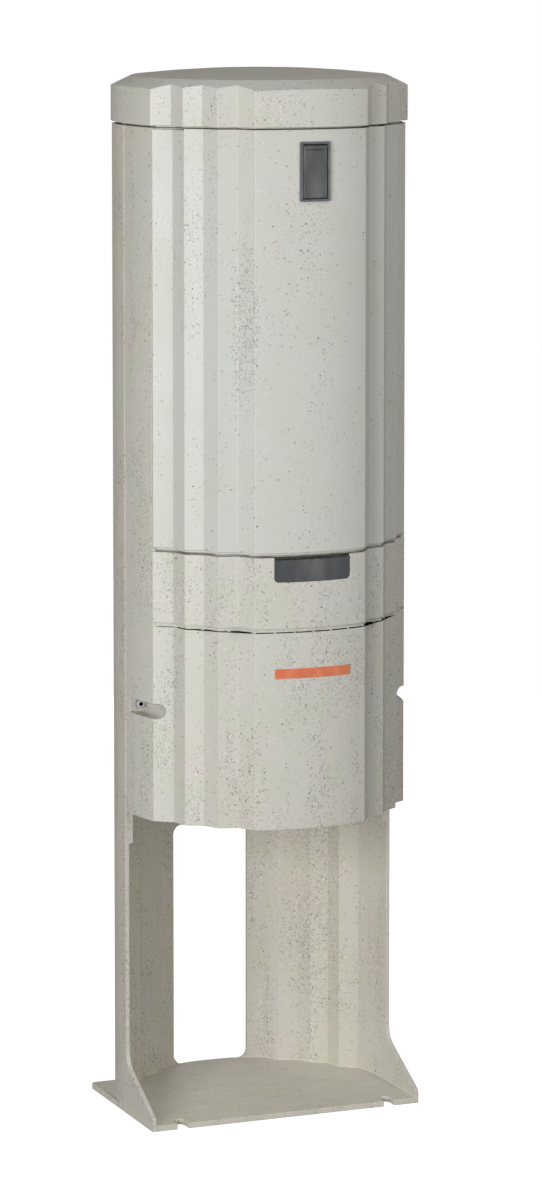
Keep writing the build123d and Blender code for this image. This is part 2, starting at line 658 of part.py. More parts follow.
def lock_plug():
    """Turning plug with a key slot in front and a tapped end behind."""
    body = rod_y(0, PLUG_Z, PLUG_RADIUS, PLUG_FRONT, PLUG_BACK)
    slot = Pos(0, PLUG_Z) * Rectangle(KEY_SLOT_WIDTH, KEY_SLOT_HEIGHT)
    body -= solid_y(slot, PLUG_FRONT - BITE, PLUG_FRONT + KEY_SLOT_DEPTH)
    depth = CAM_SCREW_LENGTH - CAM_THICKNESS + BITE
    return body - rod_y(0, PLUG_Z, CAM_SCREW_RADIUS + SCREW_CLEARANCE, PLUG_BACK - depth, PLUG_BACK + BITE)


def lock_cam():
    """Cam arm on the plug's end, stored level, which is unlocked."""
    arm = Pos(CAM_LENGTH / 2, 0) * SlotOverall(CAM_LENGTH + CAM_WIDTH, CAM_WIDTH)
    arm &= Pos(CAM_LENGTH / 2, 0) * Rectangle(CAM_LENGTH, CAM_WIDTH)
    shape = Circle(CAM_HUB_RADIUS) + arm - Circle(CAM_SCREW_RADIUS + SCREW_CLEARANCE)
    return solid_y(Pos(0, PLUG_Z) * shape, PLUG_BACK, PLUG_BACK + CAM_THICKNESS)


def cam_screw():
    """Screw that holds the cam to the plug."""
    return Pos(0, PLUG_BACK + CAM_THICKNESS, PLUG_Z) * Rot(90, 0, 0) * screw(CAM_SCREW_RADIUS, CAM_SCREW_LENGTH)


# Fittings on the shroud
def cable_outlet_plate():
    """Curved blanking plate in the strip's outlet, with a flange that laps the wall from behind."""
    top = STRIP_TOP - OUTLET_TOP_GAP
    flange_front = WALL + SCREW_CLEARANCE
    face = band(OUTLET_SETBACK, flange_front + BITE, 0, top) & solid_y(outlet_outline(OUTLET_PLAY), -FAR, 0)
    half = OUTLET_WIDTH / 2 + OUTLET_LAP
    flange = band(flange_front, flange_front + OUTLET_FLANGE, STRIP_TOP - OUTLET_HEIGHT - OUTLET_LAP, top)
    return face + (flange & block((-half, half), (-FAR, 0), (0, BODY_TOP)))


def ground_mark():
    """Thin plain label that marks the finished ground level."""
    low = COVER_TOP - MARK_BELOW_COVER_TOP - MARK_HEIGHT
    label = band(-MARK_GLUE - MARK_THICKNESS, -MARK_GLUE, low, low + MARK_HEIGHT)
    return label & block((-MARK_WIDTH / 2, MARK_WIDTH / 2), (-FAR, 0), (0, BODY_TOP))


def shroud_screws():
    """Two screws at the bottoms of the side pockets, run back into the rear housing."""
    shank = extrude(Circle(SHROUD_SCREW_RADIUS), amount=POCKET_FLOOR + SHROUD_SCREW_GRIP - BITE)
    head = extrude(Circle(SHROUD_SCREW_HEAD_RADIUS), amount=-SHROUD_SCREW_HEAD)
    return [Pos(side * POCKET_X, -POCKET_FLOOR, POCKET_Z) * Rot(-90, 0, 0) * (shank + head) for side in (-1, 1)]


def cap_screws():
    """Screws that come up through the top flange into the cap's bosses."""
    level = BODY_TOP - FLANGE_THICKNESS
    return [Pos(x, y, level) * screw(CAP_SCREW_RADIUS, CAP_SCREW_LENGTH) for x, y in cap_boss_places()]


# Equipment
def pole_places():
    """X of each fuse pole."""
    return [(number - (POLE_COUNT - 1) / 2) * POLE_PITCH for number in range(POLE_COUNT)]


def fuse_screw_places():
    """X and Z of the screws that hold the fuse base to the board."""
    x = POLE_COUNT * POLE_PITCH / 2 - POLE_PITCH / 2
    z = FUSE_BASE_HEIGHT / 2 - FUSE_SCREW_EDGE
    return [(side * x, FUSE_Z + level * z) for side in (-1, 1) for level in (-1, 1)]


def equipment_board():
    """Insulating board on four posts, bored for the screws of all that it carries."""
    half = board_half_width()
    body = block((-half, half), (BOARD_FRONT, BOARD_BACK), (BOARD_LOW, BOARD_LOW + BOARD_HEIGHT))
    holes = [(x, z, BOARD_SCREW_RADIUS) for x, z in board_screw_places()]
    holes += [(x, z, FUSE_SCREW_RADIUS) for x, z in fuse_screw_places()]
    for x, z, radius in holes:
        body -= rod_y(x, z, radius + SCREW_CLEARANCE, BOARD_FRONT - BITE, BOARD_BACK + BITE)
    return body


def board_screws():
    """Four screws through the board into the housing's posts."""
    places = board_screw_places()
    return [screw_back(x, BOARD_FRONT, z, BOARD_SCREW_RADIUS, BOARD_SCREW_LENGTH) for x, z in places]


def fuse_base():
    """Moulded base for three poles, with barriers between and beside them."""
    half = POLE_COUNT * POLE_PITCH / 2 + BARRIER_THICKNESS / 2
    heights = (FUSE_Z - FUSE_BASE_HEIGHT / 2, FUSE_Z + FUSE_BASE_HEIGHT / 2)
    body = block((-half, half), (FUSE_FRONT, BOARD_FRONT), heights)
    for number in range(POLE_COUNT + 1):
        x = (number - POLE_COUNT / 2) * POLE_PITCH
        span = (x - BARRIER_THICKNESS / 2, x + BARRIER_THICKNESS / 2)
        body += block(span, (FUSE_FRONT - BARRIER_DEPTH, FUSE_FRONT + BITE), heights)
    for x, z in fuse_screw_places():
        body -= rod_y(x, z, FUSE_SCREW_RADIUS + SCREW_CLEARANCE, FUSE_FRONT - BITE, BOARD_FRONT + BITE)
    return body


def fuse_base_screws():
    """Screws through the fuse base into the board."""
    return [screw_back(x, FUSE_FRONT, z, FUSE_SCREW_RADIUS, FUSE_SCREW_LENGTH) for x, z in fuse_screw_places()]


def fuse_contacts():
    """Slotted contact jaws, two for each pole."""
    slot = BLADE_THICKNESS / 2 + BLADE_PLAY
    jaws = []
    for x in pole_places():
        for level in (-1, 1):
            z = FUSE_Z + level * CONTACT_SPACING / 2
            heights = (z - CONTACT_HEIGHT / 2, z + CONTACT_HEIGHT / 2)
            half = CONTACT_WIDTH / 2
            jaw = block((x - half, x + half), (FUSE_FRONT - CONTACT_DEPTH, FUSE_FRONT), heights)
            depth = FUSE_FRONT - CONTACT_DEPTH + BLADE_WIDTH
            jaws.append(jaw - block((x - slot, x + slot), (-FAR, depth), (heights[0] - BITE, heights[1] + BITE)))
    return jaws


def fuse_links():
    """Blade fuse links: a ceramic body with a knife at each end, pushed into the jaws."""
    back = FUSE_FRONT - CONTACT_DEPTH + BLADE_WIDTH - BLADE_PLAY
    middle = back - BLADE_WIDTH / 2
    reach = CONTACT_SPACING / 2 + CONTACT_HEIGHT / 2
    links = []
    for x in pole_places():
        ceramic = Pos(x, middle, FUSE_Z) * Box(LINK_BODY_WIDTH, LINK_BODY_DEPTH, LINK_BODY_HEIGHT)
        ceramic = chamfer(ceramic.edges().filter_by(Axis.Z), LINK_EDGE)
        half = BLADE_THICKNESS / 2
        knives = block((x - half, x + half), (back - BLADE_WIDTH, back), (FUSE_Z - reach, FUSE_Z + reach))
        links.append(ceramic + knives)
    return links


def terminal_places():
    """X of each terminal screw on the bar."""
    return [(number - (TERMINAL_COUNT - 1) / 2) * TERMINAL_PITCH for number in range(TERMINAL_COUNT)]


def earth_bar():
    """Copper bar for the neutral and earth wires, bored for its screws."""
    half = BAR_LENGTH / 2
    body = block((-half, half), (BAR_FRONT, BAR_BACK), (BAR_Z - BAR_HEIGHT / 2, BAR_Z + BAR_HEIGHT / 2))
    for x in terminal_places() + [-BAR_POST_X, BAR_POST_X]:
        body -= rod_y(x, BAR_Z, BAR_SCREW_RADIUS + SCREW_CLEARANCE, BAR_FRONT - BITE, BAR_BACK + BITE)
    return body


def bar_posts():
    """Two insulating posts between the board and the bar."""
    posts = []
    for x in (-BAR_POST_X, BAR_POST_X):
        post = rod_y(x, BAR_Z, BAR_POST_RADIUS, BAR_BACK, BOARD_FRONT)
        depth = BAR_FRONT + BAR_SCREW_LENGTH + BITE
        posts.append(post - rod_y(x, BAR_Z, BAR_SCREW_RADIUS + SCREW_CLEARANCE, BAR_BACK - BITE, depth))
    return posts


def bar_screws():
    """Screws that hold the bar to its posts, and the terminal screws between them."""
    lengths = [(x, BAR_SCREW_LENGTH) for x in (-BAR_POST_X, BAR_POST_X)]
    lengths += [(x, TERMINAL_SCREW_LENGTH) for x in terminal_places()]
    return [screw_back(x, BAR_FRONT, BAR_Z, BAR_SCREW_RADIUS, length) for x, length in lengths]


def cable_rail():
    """Steel channel rail, open to the front, that the cable clamps hang on."""
    half = rail_half_length()
    low = RAIL_Z - RAIL_HEIGHT / 2
    high = RAIL_Z + RAIL_HEIGHT / 2
    body = block((-half, half), (RAIL_FRONT, RAIL_BACK), (low, high))
    inner_back = RAIL_BACK - RAIL_WALL
    body -= block((-FAR, FAR), (RAIL_FRONT + RAIL_WALL, inner_back), (low + RAIL_WALL, high - RAIL_WALL))
    mouth = (RAIL_Z - RAIL_MOUTH / 2, RAIL_Z + RAIL_MOUTH / 2)
    body -= block((-FAR, FAR), (RAIL_FRONT - BITE, inner_back), mouth)
    for x in (-rail_bolt_x(), rail_bolt_x()):
        body -= rod_y(x, RAIL_Z, RAIL_BOLT_RADIUS + SCREW_CLEARANCE, inner_back - BITE, RAIL_BACK + BITE)
    return body


def rail_bolts():
    """Bolts inside the rail that hold it to the housing's pads."""
    y = RAIL_BACK - RAIL_WALL
    places = (-rail_bolt_x(), rail_bolt_x())
    return [screw_back(x, y, RAIL_Z, RAIL_BOLT_RADIUS, RAIL_BOLT_LENGTH) for x in places]


def clamp_places():
    """X of each cable clamp on the rail."""
    return [(number - (CLAMP_COUNT - 1) / 2) * CLAMP_PITCH for number in range(CLAMP_COUNT)]


def clamp_bolt_places():
    """X of the bolts through the ears of all clamps."""
    offset = CLAMP_BORE_RADIUS + CLAMP_STRAP + CLAMP_EAR / 2
    return [x + side * offset for x in clamp_places() for side in (-1, 1)]


def cable_clamps():
    """Saddle clamps: a half-round strap for an upright cable, with an ear at each side."""
    outer = CLAMP_BORE_RADIUS + CLAMP_STRAP
    low = RAIL_Z - CLAMP_HEIGHT / 2
    ear_reach = outer + CLAMP_EAR
    half_plane = Pos(0, -outer) * Rectangle(2 * outer, 2 * outer)
    strap = (Circle(outer) - Circle(CLAMP_BORE_RADIUS)) & half_plane
    ears = Pos(0, -CLAMP_STRAP / 2) * Rectangle(2 * ear_reach, CLAMP_STRAP) - Circle(CLAMP_BORE_RADIUS)
    section = strap + ears
    clamps = []
    for x in clamp_places():
        body = extrude(Pos(x, RAIL_FRONT, low) * section, amount=CLAMP_HEIGHT)
        for bolt_x in clamp_bolt_places():
            body -= rod_y(bolt_x, RAIL_Z, CLAMP_BOLT_RADIUS + SCREW_CLEARANCE, -FAR, RAIL_FRONT + BITE)
        clamps.append(body)
    return clamps


def clamp_bolts():
    """Hammer-head bolts caught behind the rail's lips."""
    bolts = []
    seat = RAIL_FRONT + RAIL_WALL
    tip = RAIL_FRONT - CLAMP_STRAP - CLAMP_NUT_HEIGHT - CLAMP_BOLT_END
    head_half = (RAIL_HEIGHT / 2 - RAIL_WALL + RAIL_MOUTH / 2) / 2
    for x in clamp_bolt_places():
        head = block(
            (x - CLAMP_NUT_RADIUS, x + CLAMP_NUT_RADIUS),
            (seat, seat + CLAMP_NUT_HEIGHT),
            (RAIL_Z - head_half, RAIL_Z + head_half),
        )
        bolts.append(head + rod_y(x, RAIL_Z, CLAMP_BOLT_RADIUS, tip, seat + BITE))
    return bolts


def clamp_nuts():
    """Hexagon nuts on the ears of the clamps."""
    face = RAIL_FRONT - CLAMP_STRAP
    shape = RegularPolygon(CLAMP_NUT_RADIUS, 6) - Circle(CLAMP_BOLT_RADIUS + SCREW_CLEARANCE)
    return [solid_y(Pos(x, RAIL_Z) * shape, face - CLAMP_NUT_HEIGHT, face) for x in clamp_bolt_places()]


NODES = {
    "rear_housing": rear_housing,
    "front_shroud": front_shroud,
    "roof_cap": roof_cap,
    "cap_screws": cap_screws,
    "shroud_screws": shroud_screws,
    "cable_outlet_plate": cable_outlet_plate,
    "ground_mark": ground_mark,
    "door": door,
    "lock_housing": lock_housing,
    "lock_barrel": lock_barrel,
    "flap_pin": flap_pin,
    "lock_flap": lock_flap,
    "lock_plug": lock_plug,
    "lock_cam": lock_cam,
    "cam_screw": cam_screw,
    "equipment_board": equipment_board,
    "board_screws": board_screws,
    "fuse_base": fuse_base,
    "fuse_base_screws": fuse_base_screws,
    "fuse_contacts": fuse_contacts,
    "fuse_links": fuse_links,
    "earth_bar": earth_bar,
    "bar_posts": bar_posts,
    "bar_screws": bar_screws,
    "cable_rail": cable_rail,
    "rail_bolts": rail_bolts,
    "cable_clamps": cable_clamps,
    "clamp_bolts": clamp_bolts,
    "clamp_nuts": clamp_nuts,
}

os.makedirs("parts", exist_ok=True)
for name, make in NODES.items():
    made = make()
    solids = made if isinstance(made, list) else [made]
    shape = solids[0] if len(solids) == 1 else Compound(children=solids)
    export_step(shape, f"parts/{name}.step")
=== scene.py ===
"""Looks of an outdoor distribution pillar: moulded shells, lock, fuse gear, earth bar and cable clamps."""
import json
import logging
import math
from abc import ABC, abstractmethod
from dataclasses import dataclass
from enum import Enum
from typing import Any

import bmesh
import bpy
from mathutils import Matrix, Vector

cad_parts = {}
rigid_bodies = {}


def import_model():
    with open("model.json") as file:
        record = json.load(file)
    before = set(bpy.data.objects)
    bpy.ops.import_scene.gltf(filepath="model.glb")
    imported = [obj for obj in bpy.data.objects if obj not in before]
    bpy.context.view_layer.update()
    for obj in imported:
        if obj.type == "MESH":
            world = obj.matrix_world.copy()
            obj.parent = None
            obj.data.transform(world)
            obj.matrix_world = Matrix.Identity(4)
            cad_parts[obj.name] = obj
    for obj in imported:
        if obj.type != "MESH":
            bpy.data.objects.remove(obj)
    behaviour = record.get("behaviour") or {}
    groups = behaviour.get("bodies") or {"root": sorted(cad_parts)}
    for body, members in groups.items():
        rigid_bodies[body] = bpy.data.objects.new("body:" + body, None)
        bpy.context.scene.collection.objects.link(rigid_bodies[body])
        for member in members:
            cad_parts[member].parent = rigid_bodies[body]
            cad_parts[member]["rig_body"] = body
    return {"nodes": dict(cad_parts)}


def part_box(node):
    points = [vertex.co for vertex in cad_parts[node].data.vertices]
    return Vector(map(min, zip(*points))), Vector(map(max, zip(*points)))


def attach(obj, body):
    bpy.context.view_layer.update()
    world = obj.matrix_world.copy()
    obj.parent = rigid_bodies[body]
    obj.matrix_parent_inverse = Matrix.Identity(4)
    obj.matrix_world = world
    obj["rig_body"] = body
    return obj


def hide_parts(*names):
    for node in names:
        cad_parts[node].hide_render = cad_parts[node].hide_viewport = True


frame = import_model()

LOG = logging.getLogger("pillar")
MM = 0.001
WHITE = (1.0, 1.0, 1.0, 1.0)

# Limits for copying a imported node: merged points, joined flats, broken corners and crisp edges
MERGE_DISTANCE = 0.01 * MM
FLAT_DEG = 0.3
SHARP_DEG = 18.0
BREAK_STEPS = 2
CRISP_DEG = 52.0

# Kinds of shader node that the finishes share, and the mix node's sockets for colours
COORDINATES = "ShaderNodeTexCoord"
NOISE = "ShaderNodeTexNoise"
VORONOI = "ShaderNodeTexVoronoi"
MIX = "ShaderNodeMix"
MATH = "ShaderNodeMath"
VECTOR_MATH = "ShaderNodeVectorMath"
RANGE = "ShaderNodeMapRange"
BUMP = "ShaderNodeBump"
MAPPING = "ShaderNodeMapping"
SPLIT_COLOUR = "ShaderNodeSeparateColor"
MIX_SHARE, MIX_FIRST, MIX_SECOND, MIX_RESULT = 0, 6, 7, 2

# Steps of finer and finer detail in a noise
PLAIN_DETAIL, GRAIN_DETAIL, STREAK_DETAIL, CLOUD_DETAIL, CLUSTER_DETAIL = 1.0, 2.0, 3.0, 4.0, 6.0


class Corner(Enum):
    """How far a sharp corner is broken, in millimetres."""

    MOULDED = 0.8
    TRIMMED = 0.45
    FINE = 0.2


class Slot(Enum):
    """Material slots of the record."""

    SHELL = "shell"
    DARK = "dark_plastic"
    LOCK = "lock_metal"
    STEEL = "steel"
    GALVANISED = "galvanised_steel"
    BOARD = "board"
    FUSE = "fuse_plastic"
    COPPER = "copper"
    CERAMIC = "ceramic"
    RESIN = "post_resin"


def linear(code: str) -> tuple[float, float, float, float]:
    """Turn an sRGB hex code to a linear colour.

    Args:
        code: Six hex digits after a hash sign.

    Returns:
        Linear red, green and blue, with an alpha of one.
    """
    shares = [int(code[start : start + 2], 16) / 255 for start in (1, 3, 5)]
    red, green, blue = (s / 12.92 if s <= 0.04045 else ((s + 0.055) / 1.055) ** 2.4 for s in shares)
    return red, green, blue, 1.0


def per_metre(size_mm: float) -> float:
    """Give the texture scale at which one repeat is a size in millimetres."""
    return 1 / (size_mm * MM)


def stretch(sizes_mm: tuple[float, float, float]) -> Vector:
    """Give the texture scales along the three axes from a repeat's sizes in millimetres."""
    return Vector(per_metre(size) for size in sizes_mm)


def add_node(
    tree: bpy.types.NodeTree, kind: str, inputs: dict[str | int, Any] | None = None, **settings: Any
) -> bpy.types.Node:
    """Add one shader node, set it up and fill or link its inputs.

    Args:
        tree: Node tree that takes the node.
        kind: Blender's name for the kind of node.
        inputs: Socket names or numbers, each with a value or another node's output.
        settings: Properties of the node itself.

    Returns:
        The new node.
    """
    node = tree.nodes.new(kind)
    for name, value in settings.items():
        setattr(node, name, value)
    for socket, source in (inputs or {}).items():
        if isinstance(source, bpy.types.NodeSocket):
            tree.links.new(source, node.inputs[socket])
        else:
            node.inputs[socket].default_value = source
    return node


@dataclass(frozen=True)
class Finish(ABC):
    """A surface as it was made, with the shader that shows it."""

    name: str

    @abstractmethod
    def paint(self, tree: bpy.types.NodeTree, shader: bpy.types.Node) -> None:
        """Fill the shader's sockets.

        Args:
            tree: Node tree of the material.
            shader: Its surface shader.
        """

    def material(self) -> bpy.types.Material:
        """Make the material once, and find it after that.

        Returns:
            The material with this finish's name.
        """
        material = bpy.data.materials.get(self.name)
        if material is None:
            material = bpy.data.materials.new(self.name)
            material.use_nodes = True
            tree = material.node_tree
            tree.nodes.clear()
            shader = add_node(tree, "ShaderNodeBsdfPrincipled")
            add_node(tree, "ShaderNodeOutputMaterial", {"Surface": shader.outputs["BSDF"]})
            self.paint(tree, shader)
        return material


@dataclass(frozen=True)
class Fleck:
    """One kind of fleck in the moulding compound, with its radius as a share of its cell."""

    colour: str
    cell_mm: float
    radius: float
    strength: float
    share: float
    offset_m: float
    edge: tuple[float, float] = (0.4, 1.2)
    least_size: float = 0.45
    size_spread: float = 0.9


@dataclass(frozen=True)
class Knot:
    """A place where the flecks crowd, at its full gain in its core and fading out at its reach."""

    centre_mm: tuple[float, float, float]
    reach_mm: tuple[float, float, float]
    gain: float
    core: float = 0.2


@dataclass(frozen=True)
class StreakFilm:
    """A film laid in streaks on a shell, up to a level: pale streaks and painted light on the foot plate,
    painted shade on the door's lip.
    """

    colour: str
    level_mm: float
    streak_mm: tuple[float, float, float]
    share: tuple[float, float]
    band: tuple[float, float] = (0.36, 0.64)


# Pale streaks on the foot plate, which also stand as painted light that makes the plate paler than the
# lamps leave it
PLATE_STREAKS_AND_LIGHT = StreakFilm("#DDD8CB", 11.0, (60.0, 3.5, 60.0), (0.0, 0.75))
# Painted shade on the door's set-back lip, dark and in streaks, which darkens the joint line above the
# strip
LIP_SHADE = StreakFilm("#4F4D46", 810.3, (25.0, 25.0, 25.0), (0.45, 0.9))


@dataclass(frozen=True)
class GlassPolyester(Finish):
    """Hot-pressed glass-fibre polyester: clouded off-white with ragged clusters of flecks."""

    cool_share: tuple[float, float]
    crowding: float
    knots: tuple[Knot, ...] = ()
    # By default, pale streaks and painted light on the foot plate
    streak_film: StreakFilm = PLATE_STREAKS_AND_LIGHT
    olive: str = "#CCCAB4"
    rose: str = "#D4C8BC"
    rose_share: tuple[float, float] = (0.0, 1.0)
    cool: str = "#CBD0CD"
    cloud_mm: float = 55.0
    cloud_band: tuple[float, float] = (0.4, 0.6)
    drift_mm: float = 110.0
    drift_band: tuple[float, float] = (0.3, 0.7)
    cluster_mm: tuple[float, float, float] = (38.0, 38.0, 120.0)
    cluster_band: tuple[float, float] = (0.45, 0.72)
    cluster_roughness: float = 0.62
    crowding_between: float = 0.05
    ragged_mm: float = 2.4
    ragged_reach_mm: float = 2.2
    skin_mm: float = 1.4
    skin_depth_mm: float = 0.05
    skin_strength: float = 0.35
    roughness: tuple[float, float] = (0.42, 0.54)
    ior: float = 1.54
    flecks: tuple[Fleck, ...] = (
        Fleck("#8A887E", 2.2, 0.44, 0.9, 1.0, 0.11),
        Fleck("#9A866E", 4.2, 0.44, 0.6, 0.5, 0.31),
        Fleck("#F4F4F0", 2.6, 0.34, 0.9, 0.8, 0.67),
        Fleck("#4A4841", 3.0, 0.36, 1.0, 0.7, 0.0),
    )

    def paint(self, tree: bpy.types.NodeTree, shader: bpy.types.Node) -> None:
        """Lay clouds, flecks and the streak film of painted light and shade over the olive ground, and give
        the skin a fine pressed grain.

        Args:
            tree: Node tree of the material.
            shader: Its surface shader.
        """
        place = add_node(tree, COORDINATES).outputs["Object"]
        cloud = add_node(
            tree, NOISE, {"Vector": place, "Scale": per_metre(self.cloud_mm), "Detail": CLOUD_DETAIL}
        ).outputs[0]
        drift = add_node(
            tree, NOISE, {"Vector": place, "Scale": per_metre(self.drift_mm), "Detail": STREAK_DETAIL}
        ).outputs[0]
        layers: list[tuple[str, bpy.types.NodeSocket]] = []
        for colour, noise, band, shares in (
            (self.rose, cloud, self.cloud_band, self.rose_share),
            (self.cool, drift, self.drift_band, self.cool_share),
        ):
            sockets = {
                "Value": noise,
                "From Min": band[0],
                "From Max": band[1],
                "To Min": shares[0],
                "To Max": shares[1],
            }
            layers.append((colour, add_node(tree, RANGE, sockets).outputs[0]))
        torn = self.tear(tree, place)
        density = self.density(tree, place)
        layers += [(fleck.colour, self.strew(tree, torn, fleck, density)) for fleck in self.flecks]
        # The streak film: pale streaks and painted light on the foot plate, painted shade on the door's lip
        layers.append((self.streak_film.colour, self.film(tree, place)))
        ground = linear(self.olive)
        for colour, share in layers:
            sockets = {MIX_SHARE: share, MIX_FIRST: ground, MIX_SECOND: linear(colour)}
            ground = add_node(tree, MIX, sockets, data_type="RGBA").outputs[MIX_RESULT]
        tree.links.new(ground, shader.inputs["Base Color"])
        low, high = self.roughness
        rough = add_node(tree, RANGE, {"Value": cloud, "To Min": high, "To Max": low})
        tree.links.new(rough.outputs[0], shader.inputs["Roughness"])
        shader.inputs["IOR"].default_value = self.ior
        skin = add_node(
            tree, NOISE, {"Vector": place, "Scale": per_metre(self.skin_mm), "Detail": PLAIN_DETAIL}
        )
        sockets = {
            "Height": skin.outputs[0],
            "Strength": self.skin_strength,
            "Distance": self.skin_depth_mm * MM,
        }
        tree.links.new(add_node(tree, BUMP, sockets).outputs[0], shader.inputs["Normal"])

    def tear(self, tree: bpy.types.NodeTree, place: bpy.types.NodeSocket) -> bpy.types.NodeSocket:
        """Shift the coordinates a little at random, so that the flecks have ragged edges.

        Args:
            tree: Node tree of the material.
            place: Object coordinates.

        Returns:
            The shifted coordinates' socket.
        """
        ragged = add_node(
            tree, NOISE, {"Vector": place, "Scale": per_metre(self.ragged_mm), "Detail": PLAIN_DETAIL}
        )
        reach = Vector((1.0, 1.0, 1.0)) * self.ragged_reach_mm * MM
        sockets = {0: ragged.outputs["Color"], 1: reach, 2: place}
        return add_node(tree, VECTOR_MATH, sockets, operation="MULTIPLY_ADD").outputs[0]

    def film(self, tree: bpy.types.NodeTree, place: bpy.types.NodeSocket) -> bpy.types.NodeSocket:
        """Give the share of the streak film that lies in streaks under its level: pale streaks and painted
        light on the foot plate, painted shade on the door's lip.

        Args:
            tree: Node tree of the material.
            place: Object coordinates.

        Returns:
            The film's socket.
        """
        along = add_node(tree, MAPPING, {"Vector": place, "Scale": stretch(self.streak_film.streak_mm)})
        streak = add_node(tree, NOISE, {"Vector": along.outputs[0], "Scale": 1.0, "Detail": STREAK_DETAIL})
        sockets = {
            "Value": streak.outputs[0],
            "From Min": self.streak_film.band[0],
            "From Max": self.streak_film.band[1],
            "To Min": self.streak_film.share[0],
            "To Max": self.streak_film.share[1],
        }
        share = add_node(tree, RANGE, sockets).outputs[0]
        height = add_node(tree, "ShaderNodeSeparateXYZ", {"Vector": place}).outputs["Z"]
        under = add_node(tree, MATH, {0: height, 1: self.streak_film.level_mm * MM}, operation="LESS_THAN")
        return add_node(tree, MATH, {0: share, 1: under.outputs[0]}, operation="MULTIPLY").outputs[0]

    def density(self, tree: bpy.types.NodeTree, place: bpy.types.NodeSocket) -> bpy.types.NodeSocket:
        """Give the share of cells with a fleck: in upright clusters, and crowded at the knots.

        Args:
            tree: Node tree of the material.
            place: Object coordinates.

        Returns:
            The density's socket.
        """
        upright = add_node(tree, MAPPING, {"Vector": place, "Scale": stretch(self.cluster_mm)})
        sockets = {
            "Vector": upright.outputs[0],
            "Scale": 1.0,
            "Detail": CLUSTER_DETAIL,
            "Roughness": self.cluster_roughness,
        }
        cluster = add_node(tree, NOISE, sockets).outputs[0]
        sockets = {
            "Value": cluster,
            "From Min": self.cluster_band[0],
            "From Max": self.cluster_band[1],
            "To Min": self.crowding_between * self.crowding,
            "To Max": self.crowding,
        }
        crowd = add_node(tree, RANGE, sockets).outputs[0]
        for knot in self.knots:
            scales = stretch(knot.reach_mm)
            start = Vector(-at * MM * scale for at, scale in zip(knot.centre_mm, scales))
            near = add_node(tree, MAPPING, {"Vector": place, "Location": start, "Scale": scales})
            away = add_node(tree, VECTOR_MATH, {0: near.outputs[0]}, operation="LENGTH").outputs["Value"]
            sockets = {"Value": away, "From Min": knot.core, "To Min": knot.gain, "To Max": 0.0}
            extra = add_node(tree, RANGE, sockets).outputs[0]
            sockets = {0: extra, 1: cluster, 2: crowd}
            crowd = add_node(tree, MATH, sockets, operation="MULTIPLY_ADD").outputs[0]
        return crowd

    def strew(
        self,
        tree: bpy.types.NodeTree,
        place: bpy.types.NodeSocket,
        fleck: Fleck,
        density: bpy.types.NodeSocket,
    ) -> bpy.types.NodeSocket:
        """Strew one kind of fleck, one to a chosen cell and each of its own size and strength.

        Args:
            tree: Node tree of the material.
            place: Ragged object coordinates.
            fleck: Kind of fleck.
            density: Share of cells with a fleck.

        Returns:
            The flecks' mask.
        """
        shift = Vector((1.0, 1.0, 1.0)) * fleck.offset_m
        moved = add_node(tree, MAPPING, {"Vector": place, "Location": shift})
        cells = add_node(tree, VORONOI, {"Vector": moved.outputs[0], "Scale": per_metre(fleck.cell_mm)})
        draw = add_node(tree, SPLIT_COLOUR, {"Color": cells.outputs["Color"]}).outputs
        share = add_node(tree, MATH, {0: density, 1: fleck.share}, operation="MULTIPLY").outputs[0]
        chosen = add_node(tree, MATH, {0: draw[0], 1: share}, operation="LESS_THAN").outputs[0]
        sockets = {0: draw[2], 1: fleck.size_spread, 2: fleck.least_size}
        size = add_node(tree, MATH, sockets, operation="MULTIPLY_ADD").outputs[0]
        reach = add_node(tree, MATH, {0: cells.outputs["Distance"], 1: size}, operation="DIVIDE").outputs[0]
        sockets = {
            "Value": reach,
            "From Min": fleck.radius * fleck.edge[0],
            "From Max": fleck.radius * fleck.edge[1],
            "To Min": fleck.strength,
            "To Max": 0.0,
        }
        spot = add_node(tree, RANGE, sockets).outputs[0]
        varied = add_node(tree, MATH, {0: spot, 1: draw[1]}, operation="MULTIPLY").outputs[0]
        return add_node(tree, MATH, {0: chosen, 1: varied}, operation="MULTIPLY").outputs[0]


@dataclass(frozen=True)
class PlainSkin(Finish):
    """Plastic, resin, glaze or a coat over steel: an even colour with faint clouds and a fine grain.

    The grain is drawn coarser than the real one, so that it shows.
    """

    dark: str
    light: str
    roughness: tuple[float, float]
    flow_mm: tuple[float, float, float] = (40.0, 40.0, 40.0)
    grain_mm: float = 0.9
    grain_depth_mm: float = 0.03
    grain_strength: float = 0.3
    flow_band: tuple[float, float] = (0.32, 0.68)

    def paint(self, tree: bpy.types.NodeTree, shader: bpy.types.Node) -> None:
        """Cloud the colour and gloss along the flow, and grain the surface.

        Args:
            tree: Node tree of the material.
            shader: Its surface shader.
        """
        place = add_node(tree, COORDINATES).outputs["Object"]
        along = add_node(tree, MAPPING, {"Vector": place, "Scale": stretch(self.flow_mm)})
        flow = add_node(tree, NOISE, {"Vector": along.outputs[0], "Scale": 1.0, "Detail": CLOUD_DETAIL})
        least, most = self.flow_band
        sockets = {"Value": flow.outputs[0], "From Min": least, "From Max": most}
        share = add_node(tree, RANGE, sockets).outputs[0]
        sockets = {MIX_SHARE: share, MIX_FIRST: linear(self.dark), MIX_SECOND: linear(self.light)}
        tint = add_node(tree, MIX, sockets, data_type="RGBA")
        tree.links.new(tint.outputs[MIX_RESULT], shader.inputs["Base Color"])
        low, high = self.roughness
        rough = add_node(tree, RANGE, {"Value": share, "To Min": high, "To Max": low})
        tree.links.new(rough.outputs[0], shader.inputs["Roughness"])
        grain = add_node(
            tree, NOISE, {"Vector": place, "Scale": per_metre(self.grain_mm), "Detail": GRAIN_DETAIL}
        )
        sockets = {
            "Height": grain.outputs[0],
            "Strength": self.grain_strength,
            "Distance": self.grain_depth_mm * MM,
        }
        tree.links.new(add_node(tree, BUMP, sockets).outputs[0], shader.inputs["Normal"])


